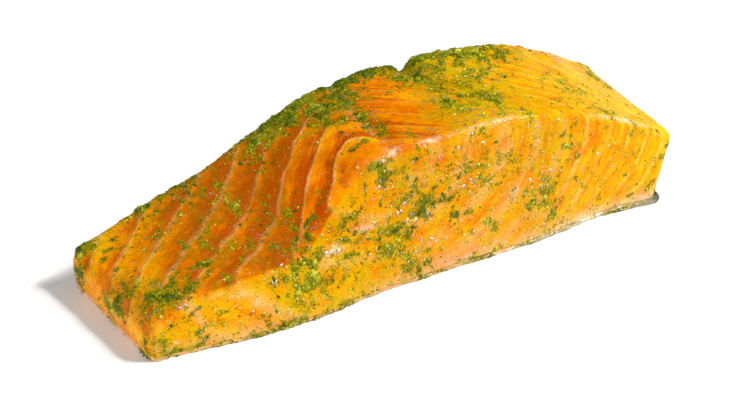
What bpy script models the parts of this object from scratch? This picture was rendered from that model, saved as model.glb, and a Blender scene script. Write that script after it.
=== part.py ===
"""Marinated salmon fillet: a portion cut across a side of salmon, skin down and strewn with chopped dill.

Frame: metres, +Z up, the origin on the floor under the middle of the portion.
+X runs from the thin belly edge to the thick back of the fish, +Y from the front cut to the rear cut.
While the shapes are worked out, x is counted from the belly edge and y from the front cut.
"""

import bmesh
import bpy
import math
import random
from mathutils import Matrix, Vector, noise
from mathutils.bvhtree import BVHTree

MM = 0.001

# The portion as a plain block, before its faces bulge.
LENGTH = 150 * MM
WIDTH = 41 * MM
EDGE_RADIUS = 2.4 * MM

# The skin is a thin sheet under the flesh.
SKIN_THICKNESS = 1.2 * MM
SKIN_GAP = 0.3 * MM
SKIN_LIP = 0.2 * MM
SKIN_BACK_LIP = 1.9 * MM
SKIN_LIP_POWER = 12
SKIN_EDGE_ROUND = 0.35 * MM
SKIN_WAVE = 0.25 * MM
SKIN_WAVE_PITCH = 9 * MM
FLESH_BASE = SKIN_THICKNESS + SKIN_GAP

# Height of the flesh along the front cut and along the rear cut: (x, z) at the front, (x, z) at the rear.
BELLY_EDGE = (0.0 * MM, 8.6 * MM), (0.0 * MM, 10.6 * MM)
BELLY_ROUND = (5.0 * MM, 13.0 * MM), (6.0 * MM, 12.9 * MM)
BELLY_FLAT = (17.0 * MM, 16.3 * MM), (19.0 * MM, 17.4 * MM)
SLOPE_FOOT = (42.0 * MM, 18.6 * MM), (36.0 * MM, 22.8 * MM)
SLOPE_MIDDLE = (54.0 * MM, 27.5 * MM), (52.0 * MM, 29.3 * MM)
RIDGE = (66.0 * MM, 37.3 * MM), (72.0 * MM, 35.2 * MM)
LOIN_FLAT = (80.0 * MM, 38.9 * MM), (88.0 * MM, 36.7 * MM)
LOIN_CROWN = (97.0 * MM, 38.9 * MM), (107.0 * MM, 36.4 * MM)
LOIN_SHOULDER = (113.0 * MM, 36.5 * MM), (122.0 * MM, 34.4 * MM)
BACK_FALL = (131.0 * MM, 29.8 * MM), (136.0 * MM, 28.6 * MM)
BACK_EDGE = (150.0 * MM, 18.8 * MM), (150.0 * MM, 19.4 * MM)
PROFILE = (
    BELLY_EDGE, BELLY_ROUND, BELLY_FLAT, SLOPE_FOOT, SLOPE_MIDDLE, RIDGE,
    LOIN_FLAT, LOIN_CROWN, LOIN_SHOULDER, BACK_FALL, BACK_EDGE,
)

# How the cut faces bulge, lean and overhang. Each bump has its middle and its half width along x.
BELLY_BULGE, BELLY_BULGE_X, BELLY_BULGE_SPAN = 4.0 * MM, 38 * MM, 28 * MM
LOIN_BULGE, LOIN_BULGE_X, LOIN_BULGE_SPAN = 1.3 * MM, 100 * MM, 28 * MM
BACK_TUCK, BACK_TUCK_X, BACK_TUCK_SPAN = 1.6 * MM, 133 * MM, 11 * MM
RIDGE_LEAN, RIDGE_LEAN_X, RIDGE_LEAN_SPAN = 4.5 * MM, 58 * MM, 12 * MM
LEAN_POWER = 1.5
REAR_BULGE, REAR_BULGE_X, REAR_BULGE_SPAN = 1.8 * MM, 80 * MM, 45 * MM
REAR_ARCH_START = 0.25
BELLY_END_BULGE = 0.8 * MM
BACK_OVERHANG = 3.6 * MM
BACK_UNDERCUT = 1.4 * MM
BACK_END_POWER, BELLY_END_POWER = 4, 6
CUT_WAVE = 0.45 * MM
CUT_WAVE_PITCH = 17 * MM

# The fat sheets between the flakes are nested cones round one axis, and their traces are furrows. A sheet's reach
# is AWAY times the distance from the axis and BACK times y. Towards the belly the sheets grow apart, and
# towards the back of the fish they crowd.
CONE_X = 61.6 * MM
CONE_SLANT = 4.5 * MM
CONE_HEIGHT = 36.5 * MM
CONE_FLATTEN = 1.4
REACH_AWAY, REACH_BACK = 0.61, 0.79
BELLY_FIRST, BELLY_PITCH, BELLY_GROWTH = 6.4 * MM, 7.2 * MM, 0.12 * MM
BACK_FIRST, BACK_PITCH, BACK_GROWTH = 5.0 * MM, 7.0 * MM, -0.19 * MM
LEAST_PITCH = 3.5 * MM
FULL_PITCH = 7.0 * MM
CROWD_POWER = 3
RIDGE_LINE_X = 69.5 * MM
FURROW_WIDTH = 1.7 * MM
TOP_FURROW = 0.75 * MM
CUT_FURROW = 0.3 * MM
RIDGE_FURROW = 0.8 * MM
BASE_FADE = 4

# One sheet has parted at the rear cut, and leaves a notch that runs forward and closes.
NOTCH_X = 94 * MM
NOTCH_DRIFT = 0.3
NOTCH_DEPTH = 3.2 * MM
NOTCH_WIDTH = 2.6 * MM
NOTCH_REACH = 19 * MM

# Grid of the flesh: its lines across the top, and rings down the cuts.
TOP_STEP = 2.4 * MM
SIDE_RINGS = 6
ARC_LINES = (0.0, 1 - math.tan(math.radians(22.5)), 1.0)

# Chopped dill in moist clumps. A patch has its middle, as (x, y) on the top or (x, z) on a cut, its spread along
# x and across it, and its number of clumps. Between the patches the clumps lie thinly everywhere.
DILL_SEED = 23
DILL_SIZES = (1.0 * MM, 2.0 * MM)
DILL_THICKNESS = 0.45
DILL_LENGTH = 1.3
DILL_ROUGHNESS = 0.2
DILL_SPACING = 1.05
TOP_PATCHES = (
    (14 * MM, 8 * MM, 6.5 * MM, 3.5 * MM, 9),
    (3 * MM, 36 * MM, 2 * MM, 3 * MM, 3),
    (24 * MM, 34 * MM, 7 * MM, 3 * MM, 4),
    (26 * MM, 20 * MM, 6 * MM, 4 * MM, 4),
    (40 * MM, 9 * MM, 7 * MM, 3 * MM, 6),
    (44 * MM, 36 * MM, 9 * MM, 3 * MM, 6),
    (64 * MM, 36 * MM, 7 * MM, 4 * MM, 9),
    (71 * MM, 24 * MM, 2 * MM, 7 * MM, 5),
    (99 * MM, 35 * MM, 4 * MM, 3 * MM, 5),
    (102 * MM, 16 * MM, 8 * MM, 4 * MM, 7),
    (122 * MM, 34 * MM, 7 * MM, 4 * MM, 4),
    (141 * MM, 22 * MM, 4 * MM, 8 * MM, 4),
)
FRONT_PATCHES = (
    (48 * MM, 7 * MM, 8 * MM, 3 * MM, 5),
    (77 * MM, 26 * MM, 3 * MM, 5 * MM, 6),
    (78 * MM, 13 * MM, 3 * MM, 4 * MM, 4),
    (113 * MM, 26 * MM, 5 * MM, 4 * MM, 5),
    (140 * MM, 17 * MM, 4 * MM, 4 * MM, 2),
)
REAR_PATCHES = (
    (40 * MM, 11 * MM, 8 * MM, 3 * MM, 3),
    (86 * MM, 20 * MM, 9 * MM, 6 * MM, 4),
    (124 * MM, 14 * MM, 9 * MM, 4 * MM, 3),
)
THIN_COVER = 16
TRIES_PER_CLUMP = 8
CLEAR_OF_BASE = 1.2
LEAST_FACING = 0.5

SHARP_ANGLE = math.radians(25)
SALMON_COLOUR = (0.85, 0.29, 0.03)
SKIN_COLOUR = (0.30, 0.32, 0.31)


def clear_scene():
    for item in list(bpy.data.objects):
        bpy.data.objects.remove(item)


def bump(value, middle, span):
    return math.exp(-(((value - middle) / span) ** 2))


def smooth_through(knots, x):
    """Height at x on a smooth curve through the knots that never overshoots them."""
    steps = [b[0] - a[0] for a, b in zip(knots, knots[1:])]
    slopes = [(b[1] - a[1]) / step for a, b, step in zip(knots, knots[1:], steps)]
    tangents = [slopes[0]]
    tangents += [2 * a * b / (a + b) if a * b > 0 else 0.0 for a, b in zip(slopes, slopes[1:])]
    tangents += [slopes[-1]]
    i = max(k for k in range(len(steps)) if k == 0 or knots[k][0] <= x)
    t = min(max((x - knots[i][0]) / steps[i], 0.0), 1.0)
    rise = slopes[i] * steps[i]
    bow_in = tangents[i] * steps[i] - rise
    bow_out = tangents[i + 1] * steps[i] - rise
    return knots[i][1] + rise * t + t * (1 - t) * (bow_in * (1 - t) - bow_out * t)


def top_height(x, y):
    """Height of the smooth upper surface above the floor."""
    back = min(max(y / WIDTH, 0.0), 1.0)
    knots = [
        tuple(f + (r - f) * back for f, r in zip(front, rear))
        for front, rear in PROFILE
    ]
    return smooth_through(knots, x) - notch_depth(x, y)


def notch_depth(x, y):
    from_rear = max(WIDTH - y, 0.0)
    centre = NOTCH_X + NOTCH_DRIFT * from_rear
    return NOTCH_DEPTH * bump(x, centre, NOTCH_WIDTH) * bump(from_rear, 0.0, NOTCH_REACH)


def sheet_number(reach, first, pitch, growth):
    """How many sheets lie within this reach, a whole number on a sheet, and the pitch of the sheets there."""
    local = max(pitch**2 + 4 * growth * (reach - first), LEAST_PITCH**2) ** 0.5
    number = (local - pitch) / (2 * growth)
    past = reach - first - number * (pitch + growth * number)
    return number + past / local, local


def furrow(x, y, z, depth):
    """How deep the trace of the nearest fat sheet is pressed into the surface."""
    slant = CONE_SLANT * y / WIDTH
    away = math.hypot(x - CONE_X - slant, CONE_FLATTEN * (z - CONE_HEIGHT))
    reach = REACH_AWAY * away + REACH_BACK * y
    ridge_x = RIDGE_LINE_X + slant
    if x < ridge_x:
        number, pitch = sheet_number(reach, BELLY_FIRST, BELLY_PITCH, BELLY_GROWTH)
    else:
        number, pitch = sheet_number(reach, BACK_FIRST, BACK_PITCH, BACK_GROWTH)
    from_sheet = abs(number - round(number)) * pitch
    press = depth * bump(from_sheet, 0.0, FURROW_WIDTH) * min((pitch / FULL_PITCH) ** CROWD_POWER, 1.0)
    ridge_press = RIDGE_FURROW * depth / TOP_FURROW * bump(x, ridge_x, FURROW_WIDTH)
    return max(press, ridge_press)


def plan_shift(x, y, share_up):
    """How far a point of the block moves in plan, as the cuts bulge and lean and the back edge overhangs."""
    from_front = 1 - min(max(y / WIDTH, 0.0), 1.0)
    low = 1 - share_up
    out_front = BELLY_BULGE * bump(x, BELLY_BULGE_X, BELLY_BULGE_SPAN) * low
    out_front += LOIN_BULGE * bump(x, LOIN_BULGE_X, LOIN_BULGE_SPAN) * low
    out_front -= BACK_TUCK * bump(x, BACK_TUCK_X, BACK_TUCK_SPAN) * low
    out_front -= RIDGE_LEAN * bump(x, RIDGE_LEAN_X, RIDGE_LEAN_SPAN) * share_up**LEAN_POWER
    arch = math.sin(math.pi * (REAR_ARCH_START + share_up / 2))
    out_rear = REAR_BULGE * bump(x, REAR_BULGE_X, REAR_BULGE_SPAN) * arch
    wave = CUT_WAVE * noise.noise(Vector((x, y, share_up * CUT_WAVE_PITCH)) / CUT_WAVE_PITCH)
    shift_y = out_rear * (1 - from_front) ** 2 - out_front * from_front**2 + wave
    back_share = x / LENGTH
    end_lean = BACK_OVERHANG * share_up - BACK_UNDERCUT * low
    belly_round = BELLY_END_BULGE * math.sin(math.pi * share_up)
    shift_x = end_lean * back_share**BACK_END_POWER - belly_round * (1 - back_share) ** BELLY_END_POWER
    return shift_x, shift_y


def flesh_point(x, y, down):
    """The surface point of the column at (x, y), a distance down below its top, with the edges rounded."""
    column = top_height(x, y) - FLESH_BASE
    inner = Vector((
        min(max(x, EDGE_RADIUS), LENGTH - EDGE_RADIUS),
        min(max(y, EDGE_RADIUS), WIDTH - EDGE_RADIUS),
        max(down, EDGE_RADIUS),
    ))
    outward = (Vector((x, y, down)) - inner).normalized()
    upness = max(-outward.z, 0.0)
    depth = CUT_FURROW + (TOP_FURROW - CUT_FURROW) * upness
    base_share = min(down / column, 1.0)
    depth *= min(1.0, BASE_FADE * (1 - base_share))
    sunk = furrow(x, y, FLESH_BASE + column - down, depth)
    spot = inner + outward * (EDGE_RADIUS - sunk)
    height = top_height(spot.x, spot.y) - spot.z
    height = max(height, FLESH_BASE) if base_share < 1 else FLESH_BASE
    share_up = (height - FLESH_BASE) / column
    shift_x, shift_y = plan_shift(spot.x, spot.y, share_up)
    return Vector((spot.x + shift_x, spot.y + shift_y, height))


def grid_lines(length):
    """Places of the grid lines along one side of the block: fine over the rounded edges, even between."""
    ends = [EDGE_RADIUS * share for share in ARC_LINES]
    inside = length - 2 * EDGE_RADIUS
    count = round(inside / TOP_STEP)
    middle = [EDGE_RADIUS + inside * i / count for i in range(1, count)]
    return ends + middle + [length - end for end in reversed(ends)]


def ring_depths(column):
    """Depths of the rings that run down a cut face, from the rounded edge to the base."""
    below = column - EDGE_RADIUS
    rounded = [EDGE_RADIUS * share for share in ARC_LINES[1:]]
    return rounded + [EDGE_RADIUS + below * i / SIDE_RINGS for i in range(1, SIDE_RINGS + 1)]


def build_flesh_mesh():
    """A grid for the top, its rim carried down in rings for the cuts, and a flat base in the last ring."""
    mesh = bmesh.new()
    lines_x, lines_y = grid_lines(LENGTH), grid_lines(WIDTH)
    top = [[mesh.verts.new(flesh_point(x, y, 0.0)) for y in lines_y] for x in lines_x]
    for near, far in zip(top, top[1:]):
        for a, b, c, d in zip(near, far, far[1:], near[1:]):
            mesh.faces.new((a, b, c, d))
    last_x, last_y = len(lines_x) - 1, len(lines_y) - 1
    rim = [(i, 0) for i in range(last_x)] + [(last_x, j) for j in range(last_y)]
    rim += [(i, last_y) for i in range(last_x, 0, -1)] + [(0, j) for j in range(last_y, 0, -1)]
    columns = []
    for i, j in rim:
        x, y = lines_x[i], lines_y[j]
        depths = ring_depths(top_height(x, y) - FLESH_BASE)
        columns.append([top[i][j]] + [mesh.verts.new(flesh_point(x, y, down)) for down in depths])
    for left, right in zip(columns, columns[1:] + columns[:1]):
        for a, b, c, d in zip(left, left[1:], right[1:], right):
            mesh.faces.new((a, b, c, d))
    mesh.faces.new([column[-1] for column in reversed(columns)])
    bmesh.ops.recalc_face_normals(mesh, faces=mesh.faces)
    return mesh


def dill_clump(spot, normal, size, draw):
    """A small crumpled lump of chopped dill, flattened on the surface and sunk a little into it."""
    mesh = bmesh.new()
    bmesh.ops.create_icosphere(mesh, subdivisions=1, radius=size)
    for vert in mesh.verts:
        vert.co *= 1 + draw.uniform(-DILL_ROUGHNESS, DILL_ROUGHNESS)
        vert.co.z *= DILL_THICKNESS
        vert.co.x *= DILL_LENGTH
    turn = normal.to_track_quat("Z", "Y").to_matrix().to_4x4()
    spin = Matrix.Rotation(draw.uniform(0, 2 * math.pi), 4, "Z")
    mesh.transform(Matrix.Translation(spot) @ turn @ spin)
    return mesh


def wanted_clumps(patches, far_up, draw):
    """Each clump's size and the places to try for it: the patches, largest clumps first, then the cover."""
    for across, up, spread_across, spread_up, count in patches:
        for i in range(count):
            size = DILL_SIZES[1] + (DILL_SIZES[0] - DILL_SIZES[1]) * i / count
            yield size, [
                (draw.gauss(across, spread_across), draw.gauss(up, spread_up))
                for _ in range(TRIES_PER_CLUMP)
            ]
    for _ in range(THIN_COVER):
        yield DILL_SIZES[0], [
            (draw.uniform(0, LENGTH), draw.uniform(0, far_up))
            for _ in range(TRIES_PER_CLUMP)
        ]


def free_spot(surface, starts, way, size, laid):
    """The first place where the way meets the flesh squarely, above the base and clear of laid clumps."""
    for start in starts:
        spot, normal, _, _ = surface.ray_cast(start, way)
        if spot is None or normal.dot(way) > -LEAST_FACING or spot.z < FLESH_BASE + CLEAR_OF_BASE * size:
            continue
        if all((spot - other).length > DILL_SPACING * (size + reach) for other, reach in laid):
            return spot, normal
    return None, None


def strew_dill(flesh_mesh):
    """All the dill clumps, laid on the top from above and on the two cuts from the front and the rear."""
    surface = BVHTree.FromBMesh(flesh_mesh)
    draw = random.Random(DILL_SEED)
    far = 2 * LENGTH
    looks = (
        (TOP_PATCHES, WIDTH, lambda a, b: Vector((a, b, far)), Vector((0, 0, -1))),
        (FRONT_PATCHES, CONE_HEIGHT, lambda a, b: Vector((a, -far, b)), Vector((0, 1, 0))),
        (REAR_PATCHES, CONE_HEIGHT, lambda a, b: Vector((a, far, b)), Vector((0, -1, 0))),
    )
    clumps = []
    laid = []
    for patches, far_up, start, way in looks:
        for size, tries in wanted_clumps(patches, far_up, draw):
            starts = [start(across, up) for across, up in tries]
            spot, normal = free_spot(surface, starts, way, size, laid)
            if spot is not None:
                laid.append((spot, size))
                clumps.append(dill_clump(spot, normal, size, draw))
    return clumps


def shade(data):
    data.shade_smooth()
    data.set_sharp_from_angle(angle=SHARP_ANGLE)


def new_object(name, mesh, material, offset):
    data = bpy.data.meshes.new(name)
    mesh.transform(Matrix.Translation(offset))
    mesh.to_mesh(data)
    mesh.free()
    shade(data)
    item = bpy.data.objects.new(name, data)
    bpy.context.scene.collection.objects.link(item)
    data.materials.append(material)
    return item


def plain_material(name, colour, roughness):
    material = bpy.data.materials.new(name)
    material.use_nodes = True
    shader = material.node_tree.nodes["Principled BSDF"]
    shader.inputs["Base Color"].default_value = (*colour, 1)
    shader.inputs["Roughness"].default_value = roughness
    shader.inputs["Metallic"].default_value = 0.0
    return material


def fuse(body, parts):
    """Joins the parts to the body with one union, then removes them."""
    group = bpy.data.collections.new("dill_clumps")
    bpy.context.scene.collection.children.link(group)
    for part in parts:
        bpy.context.scene.collection.objects.unlink(part)
        group.objects.link(part)
    union = body.modifiers.new("Fuse dill", "BOOLEAN")
    union.operation = "UNION"
    union.operand_type = "COLLECTION"
    union.collection = group
    union.solver = "EXACT"
    graph = bpy.context.evaluated_depsgraph_get()
    joined = bpy.data.meshes.new_from_object(body.evaluated_get(graph))
    body.modifiers.clear()
    body.data = joined
    shade(joined)
    for part in parts:
        bpy.data.objects.remove(part)
    bpy.data.collections.remove(group)


def build_skin_mesh():
    """The skin: the base's outline with a small lip, a flat underside and softly rounded edges."""
    lines_x, lines_y = grid_lines(LENGTH)[::2], grid_lines(WIDTH)
    rim = [(x, 0.0) for x in lines_x[:-1]] + [(LENGTH, y) for y in lines_y[:-1]]
    rim += [(x, WIDTH) for x in reversed(lines_x[1:])] + [(0.0, y) for y in reversed(lines_y[1:])]
    outline = []
    for x, y in rim:
        spot = flesh_point(x, y, top_height(x, y) - FLESH_BASE)
        outward = Vector((spot.x - min(max(spot.x, WIDTH / 2), LENGTH - WIDTH / 2), spot.y - WIDTH / 2, 0))
        lip = SKIN_LIP + SKIN_BACK_LIP * (x / LENGTH) ** SKIN_LIP_POWER
        lip += SKIN_WAVE * noise.noise(Vector((x, y, 0)) / SKIN_WAVE_PITCH)
        outline.append((Vector((spot.x, spot.y, 0)), outward.normalized(), lip))
    mesh = bmesh.new()
    profile = (
        (-SKIN_EDGE_ROUND, 0.0),
        (0.0, SKIN_EDGE_ROUND),
        (0.0, SKIN_THICKNESS - SKIN_EDGE_ROUND),
        (-SKIN_EDGE_ROUND, SKIN_THICKNESS),
    )
    rings = [
        [mesh.verts.new(spot + way * (lip + inward) + Vector((0, 0, z))) for spot, way, lip in outline]
        for inward, z in profile
    ]
    for low, high in zip(rings, rings[1:]):
        for i, corner in enumerate(low):
            after = (i + 1) % len(low)
            mesh.faces.new((corner, low[after], high[after], high[i]))
    mesh.faces.new(list(reversed(rings[0])))
    mesh.faces.new(rings[-1])
    bmesh.ops.recalc_face_normals(mesh, faces=mesh.faces)
    return mesh


def middle_of(meshes):
    """The plan middle of the box round all the meshes."""
    spots = [vert.co for mesh in meshes for vert in mesh.verts]
    low_x, high_x = min(spot.x for spot in spots), max(spot.x for spot in spots)
    low_y, high_y = min(spot.y for spot in spots), max(spot.y for spot in spots)
    return Vector(((low_x + high_x) / 2, (low_y + high_y) / 2, 0))


def main():
    clear_scene()
    salmon = plain_material("salmon", SALMON_COLOUR, 0.35)
    silver = plain_material("fish_skin", SKIN_COLOUR, 0.4)
    flesh_mesh, skin_mesh = build_flesh_mesh(), build_skin_mesh()
    dill_meshes = strew_dill(flesh_mesh)
    offset = -middle_of([flesh_mesh, skin_mesh, *dill_meshes])
    flesh = new_object("salmon_flesh", flesh_mesh, salmon, offset)
    clumps = [new_object(f"dill_{i:03d}", mesh, salmon, offset) for i, mesh in enumerate(dill_meshes)]
    fuse(flesh, clumps)
    new_object("salmon_skin", skin_mesh, silver, offset)


main()
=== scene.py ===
# %% [markdown]
# A portion of marinated salmon, dressed for a photograph. The model is one cut across a side of salmon:
# thin belly on the left, thick loin on the right, skin below, and a marinade of oil and chopped dill on top.
# The plain solids are already made and fixed, so this lesson only adds what the eye sees.
# We start by loading them, and keep their box, because the dressed portion has to stay the same size.

import math

import bmesh
import bpy
import numpy as np
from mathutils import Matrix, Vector, noise


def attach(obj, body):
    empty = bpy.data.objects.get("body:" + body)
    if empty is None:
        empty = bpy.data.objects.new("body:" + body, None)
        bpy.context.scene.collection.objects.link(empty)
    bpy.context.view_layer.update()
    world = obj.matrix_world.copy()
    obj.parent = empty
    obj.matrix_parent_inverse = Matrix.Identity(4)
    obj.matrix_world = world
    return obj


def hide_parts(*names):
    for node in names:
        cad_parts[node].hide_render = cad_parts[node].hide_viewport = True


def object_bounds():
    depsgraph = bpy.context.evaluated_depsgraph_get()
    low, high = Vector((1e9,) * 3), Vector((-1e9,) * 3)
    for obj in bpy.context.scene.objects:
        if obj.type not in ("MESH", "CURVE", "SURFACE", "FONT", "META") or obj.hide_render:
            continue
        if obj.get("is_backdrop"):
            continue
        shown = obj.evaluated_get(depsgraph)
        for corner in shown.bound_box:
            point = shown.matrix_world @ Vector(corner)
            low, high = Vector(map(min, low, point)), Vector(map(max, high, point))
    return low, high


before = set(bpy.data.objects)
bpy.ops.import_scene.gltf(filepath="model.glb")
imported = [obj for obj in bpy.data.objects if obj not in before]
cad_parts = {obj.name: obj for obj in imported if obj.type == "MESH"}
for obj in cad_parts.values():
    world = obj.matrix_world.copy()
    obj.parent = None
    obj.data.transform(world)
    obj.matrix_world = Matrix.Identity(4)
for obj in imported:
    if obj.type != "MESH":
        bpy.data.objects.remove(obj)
cad_low, cad_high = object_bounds()
MM = 0.001
print("solids, mm:", [round(v / MM, 1) for v in cad_high - cad_low])

# %% [markdown]
# The camera comes first, so that every later choice can be judged from where the photograph was taken.
# It was a long lens from about a metre: the edges of the portion stay nearly parallel. The angles below are
# the direction from which the camera looks, and the target is a point in the middle of the portion.
# Places on the fish are easiest to name from its belly corner, so one helper turns "millimetres from the
# belly edge, from the front cut and from the floor" into the frame of the solids.

# %% Camera
BELLY_CORNER = np.array([-76.1, -19.66, 0.0]) * MM
CAMERA_TURN = math.radians(30.8)
CAMERA_RISE = math.radians(31.2)
CAMERA_DISTANCE = 1.0
CAMERA_LENS = 189.9
AIM = np.array([72.3, 14.4, 15.0]) * MM


def in_frame(points):
    return np.asarray(points) + BELLY_CORNER


camera = bpy.data.objects.new("camera", bpy.data.cameras.new("camera"))
bpy.context.scene.collection.objects.link(camera)
to_camera = Vector((
    -math.sin(CAMERA_TURN) * math.cos(CAMERA_RISE),
    -math.cos(CAMERA_TURN) * math.cos(CAMERA_RISE),
    math.sin(CAMERA_RISE),
))
camera.location = Vector(in_frame(AIM)) + to_camera * CAMERA_DISTANCE
camera.rotation_euler = to_camera.to_track_quat("Z", "Y").to_euler()
camera.data.lens = CAMERA_LENS
camera.data.sensor_width = 36
bpy.context.scene.camera = camera
print("camera at", [round(v, 3) for v in camera.location])

# %% [markdown]
# The flesh is one soft block with a strong shape, so it is made as a fine grid wrapped over a formula rather
# than sculpted. The formula is the one behind the solids: a height curve along the front cut, another along
# the rear cut, and straight lines between them. A curve that never overshoots its knots keeps the slopes
# calm. Numpy works out all the points of the grid in one go.

# %% Height of the portion
LENGTH, WIDTH, EDGE_RADIUS = 150 * MM, 41 * MM, 2.4 * MM
FLESH_BASE = 1.2 * MM
FRONT_CUT = np.array([
    (0, 8.6), (5, 13), (17, 16.3), (42, 18.6), (54, 27.5), (66, 37.3),
    (80, 38.9), (97, 38.9), (113, 36.5), (131, 29.8), (150, 18.8),
]) * MM
REAR_CUT = np.array([
    (0, 10.6), (6, 12.9), (19, 17.4), (36, 22.8), (52, 29.3), (72, 35.2),
    (88, 36.7), (107, 36.4), (122, 34.4), (136, 28.6), (150, 19.4),
]) * MM
NOTCH_X, NOTCH_DRIFT, NOTCH_DEPTH = 94 * MM, 0.3, 3.2 * MM
NOTCH_WIDTH, NOTCH_REACH = 2.6 * MM, 19 * MM


def bump(value, middle, span):
    return np.exp(-(((value - middle) / span) ** 2))


def smooth_through(knot_x, knot_z, x):
    """Heights at x, each on its own row of knots."""
    step = np.diff(knot_x, axis=1)
    slope = np.diff(knot_z, axis=1) / step
    product = slope[:, :-1] * slope[:, 1:]
    total = slope[:, :-1] + slope[:, 1:]
    inner = np.where(product > 0, 2 * product / np.where(product > 0, total, 1), 0)
    tangent = np.hstack([slope[:, :1], inner, slope[:, -1:]])
    row = np.arange(len(x))
    i = np.clip((x[:, None] >= knot_x).sum(axis=1) - 1, 0, step.shape[1] - 1)
    width = step[row, i]
    t = np.clip((x - knot_x[row, i]) / width, 0, 1)
    rise = slope[row, i] * width
    bow_in = tangent[row, i] * width - rise
    bow_out = tangent[row, i + 1] * width - rise
    return knot_z[row, i] + rise * t + t * (1 - t) * (bow_in * (1 - t) - bow_out * t)


def top_height(x, y):
    back = np.clip(y / WIDTH, 0, 1)[:, None]
    knots = FRONT_CUT + (REAR_CUT - FRONT_CUT) * back[:, :, None]
    from_rear = np.maximum(WIDTH - y, 0)
    across = bump(x, NOTCH_X + NOTCH_DRIFT * from_rear, NOTCH_WIDTH)
    notch = NOTCH_DEPTH * across * bump(from_rear, 0, NOTCH_REACH)
    return smooth_through(knots[:, :, 0], knots[:, :, 1], x) - notch


sample_x = np.linspace(0, LENGTH, 301)
print("highest point, mm:", round(top_height(sample_x, 0 * sample_x).max() / MM, 1))

# %% [markdown]
# Salmon muscle is built of flakes, and between the flakes lie thin sheets of white fat. The sheets are nested
# cones, so a flat cut shows them as arcs and the outside shows them as chevrons. One number does it all: how
# many sheets lie between a point and the axis of the cones. Where that number is whole there is a sheet, so
# it gives the furrows now and the fat lines later, in the right place on every side. The belly has wide
# flakes, and towards the back of the fish they crowd.

# %% Fat sheets
CONE_X, CONE_SLANT, CONE_HEIGHT, CONE_FLATTEN = 61.6 * MM, 4.5 * MM, 36.5 * MM, 1.4
REACH_AWAY, REACH_BACK = 0.61, 0.79
BELLY_SHEETS = 6.4 * MM, 7.2 * MM, 0.12 * MM
BACK_SHEETS = 5.0 * MM, 7.0 * MM, -0.19 * MM
LEAST_PITCH, FULL_PITCH, CROWD_POWER = 3.5 * MM, 7.0 * MM, 3
RIDGE_LINE_X = 69.5 * MM


def ridge_x(y):
    return RIDGE_LINE_X + CONE_SLANT * y / WIDTH


def sheet_number(x, y, z, first, pitch, growth):
    """The sheets between each point and the axis, and the pitch of the sheets at the point."""
    away = np.hypot(x - CONE_X - CONE_SLANT * y / WIDTH, CONE_FLATTEN * (z - CONE_HEIGHT))
    reach = REACH_AWAY * away + REACH_BACK * y
    local = np.sqrt(np.maximum(pitch**2 + 4 * growth * (reach - first), LEAST_PITCH**2))
    number = (local - pitch) / (2 * growth)
    past = reach - first - number * (pitch + growth * number)
    return number + past / local, local


def furrow(x, y, z, depth, width, step=0):
    """How deep the nearest sheet presses into the surface. A step lets each flake rise to its next sheet."""
    pressed = []
    for sheets in (BELLY_SHEETS, BACK_SHEETS):
        number, pitch = sheet_number(x, y, z, *sheets)
        off = np.abs(number - np.round(number)) * pitch
        crowd = np.minimum((pitch / FULL_PITCH) ** CROWD_POWER, 1) * np.clip(2 * number - 0.8, 0, 1)
        risen = (number - np.floor(number) - 0.5) * (1 - bump(off, 0, 0.7 * MM))
        pressed.append(crowd * (depth * bump(off, 0, width) - step * risen))
    return np.where(x < ridge_x(y), *pressed)


number, pitch = sheet_number(sample_x, 0 * sample_x, 0 * sample_x + 15 * MM, *BACK_SHEETS)
print("flake width near the back edge, mm:", round(pitch[-1] / MM, 1))

# %% [markdown]
# A knife and a soft fish never leave a true block. The front cut bulges at its foot, leans back under the
# ridge, and the back edge hangs over. Each bulge of a cut is a bump function with its middle and spread along
# the cut, and how far it comes out. On top come small lumps from noise, which a real cut has and which break
# up the reflections of the oil.

# %% Bulges and lumps
# middle, spread and how far out, in mm
FOOT_BULGES = ((38, 28, 4.0), (100, 28, 1.3), (133, 11, -1.6))
UNDER_RIDGE, REAR_BULGE = (58, 12, -4.5), (80, 45, 1.8)
BACK_TOP_OUT, BACK_FOOT_IN, BELLY_END_OUT = 3.6 * MM, 1.4 * MM, 0.8 * MM
CUT_WAVE, CUT_WAVE_PITCH = 0.45 * MM, 17 * MM
LUMPS = (6.0 * MM, 0.24 * MM), (2.2 * MM, 0.14 * MM), (0.9 * MM, 0.07 * MM)
FURROW_WIDTH, RIDGE_DENT, RIDGE_DENT_WIDTH = 1.3 * MM, 0.6 * MM, 1.7 * MM
FURROW_ON_SIDES, FURROW_MORE_ON_TOP, FLAKE_STEP = 0.06, 0.1, 0.1  # in mm


def noise_at(points, pitch, seed=0.0):
    shift = Vector((seed, -seed, 2 * seed))
    return np.array([noise.noise(Vector(point) / pitch + shift) for point in points])


def bulge(x, middle, spread, out):
    return out * MM * bump(x, middle * MM, spread * MM)


def plan_shift(x, y, share_up):
    """How far a point moves along x and y. Its share up is 0 at the foot and 1 at the top."""
    from_front = 1 - np.clip(y / WIDTH, 0, 1)
    low = 1 - share_up
    out_front = sum(bulge(x, *at_foot) * low for at_foot in FOOT_BULGES)
    out_front += bulge(x, *UNDER_RIDGE) * share_up**1.5
    out_rear = bulge(x, *REAR_BULGE) * np.sin(np.pi * (0.25 + share_up / 2))
    wave = CUT_WAVE * noise_at(np.stack([x, y, share_up * CUT_WAVE_PITCH], 1), CUT_WAVE_PITCH)
    shift_y = out_rear * (1 - from_front) ** 2 - out_front * from_front**2 + wave
    back_share = x / LENGTH
    end_lean = BACK_TOP_OUT * share_up - BACK_FOOT_IN * low
    shift_x = end_lean * back_share**4 - BELLY_END_OUT * np.sin(np.pi * share_up) * (1 - back_share) ** 6
    return shift_x, shift_y


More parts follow.
